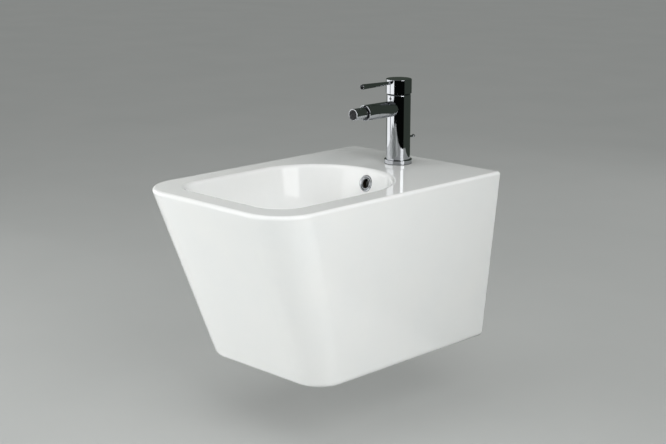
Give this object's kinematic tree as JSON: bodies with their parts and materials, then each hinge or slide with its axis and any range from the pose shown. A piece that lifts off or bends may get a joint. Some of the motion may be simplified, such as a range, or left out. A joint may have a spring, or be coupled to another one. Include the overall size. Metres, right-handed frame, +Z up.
{
  "type": "wall-hung bidet",
  "caption": "Wall-hung ceramic bidet with tapered sides, a deck-mounted single-lever mixer with swivelling nozzle, an overflow ring and a knob-lifted pop-up waste.",
  "frame": {"origin": "on the wall face, midway between the two wall studs, 90 mm below the deck's top face", "axes": "+Z up, +X to the right when facing the wall, +Y into the wall"},
  "size_m": [0.3648, 0.5996, 0.4716],
  "materials": {
    "glazed_ceramic": "gloss white glaze",
    "chrome": "polished chrome plate",
    "cast_brass": "plain cast and turned",
    "steel": "zinc-plated or stainless",
    "rubber": "black rubber",
    "white_plastic": "moulded",
    "disc_ceramic": "lapped alumina",
    "dark_plastic": "moulded"
  },
  "bodies": {
    "bidet": {"ceramic_body": "glazed_ceramic", "overflow_ring": "chrome", "wall_studs": "steel", "stud_sleeves": "white_plastic", "stud_washers": "steel", "stud_nuts": "steel", "mixer_body": "chrome", "mixer_spout": "chrome", "base_ring": "chrome", "base_seal": "rubber", "indicator_plug": "dark_plastic", "mixer_stud": "steel", "clamp_gasket": "rubber", "clamp_washer": "steel", "mixer_nut": "steel", "cartridge_base": "white_plastic", "cartridge_seals": "rubber", "fixed_disc": "disc_ceramic", "cartridge_housing": "white_plastic", "cartridge_nut": "cast_brass", "nozzle_collar": "chrome", "nozzle_gasket": "rubber", "waste_flange": "chrome", "flange_gasket": "rubber", "neck_gasket": "rubber", "waste_body": "cast_brass", "pivot_seat": "white_plastic", "pivot_washer": "white_plastic", "pivot_nut": "cast_brass"},
    "lever_carrier": {"swivel_carrier": "white_plastic", "spindle_pin": "steel"},
    "lever_handle": {"spindle": "steel", "handle_cap": "chrome", "lever_rod": "chrome", "handle_screw": "steel"},
    "mixing_disc": {"moving_disc": "disc_ceramic", "disc_driver": "white_plastic"},
    "nozzle_swivel": {"nozzle_liner": "white_plastic"},
    "nozzle_tube": {"nozzle": "chrome", "aerator_insert": "dark_plastic"},
    "lift_knob_and_rod": {"lift_rod": "steel", "lift_knob": "chrome", "rod_clamp": "cast_brass", "clamp_screw": "steel"},
    "waste_pivot": {"pivot_rod": "steel"},
    "waste_plug": {"plug": "chrome", "plug_seal": "rubber"}
  },
  "joints": [
    {"name": "lever_swivel", "type": "hinge", "parent": "bidet", "child": "lever_carrier", "pos_m": [0, -0.074, 0.207], "axis": [0, 0, 1], "range_deg": [-50, 50]},
    {"name": "lever_tilt", "type": "hinge", "parent": "lever_carrier", "child": "lever_handle", "pos_m": [0, -0.074, 0.207], "axis": [-1, 0, 0], "range_deg": [0, 25]},
    {"name": "disc_slide", "type": "slide", "parent": "lever_carrier", "child": "mixing_disc", "axis": [0, -1, 0], "range_m": [0, 0.0049]},
    {"name": "nozzle_yaw", "type": "hinge", "parent": "bidet", "child": "nozzle_swivel", "pos_m": [0, -0.155, 0.1923], "axis": [0, 0, 1], "range_deg": [-7, 7]},
    {"name": "nozzle_tilt", "type": "hinge", "parent": "nozzle_swivel", "child": "nozzle_tube", "pos_m": [0, -0.155, 0.1923], "axis": [1, 0, 0], "range_deg": [-7, 7]},
    {"name": "knob_lift", "type": "slide", "parent": "bidet", "child": "lift_knob_and_rod", "axis": [0, 0, 1], "range_m": [0, 0.032]},
    {"name": "pivot_turn", "type": "hinge", "parent": "bidet", "child": "waste_pivot", "pos_m": [0, -0.233, -0.121], "axis": [1, 0, 0], "range_deg": [0, 10.67]},
    {"name": "plug_drop", "type": "slide", "parent": "bidet", "child": "waste_plug", "axis": [0, 0, -1], "range_m": [0, 0.00596]}
  ],
  "couplings": [
    {"joint": "disc_slide", "follows": "lever_tilt", "m_per_rad": 0.011187},
    {"joint": "pivot_turn", "follows": "knob_lift", "rad_per_m": 5.814},
    {"joint": "plug_drop", "follows": "knob_lift", "ratio": 0.18605}
  ]
}
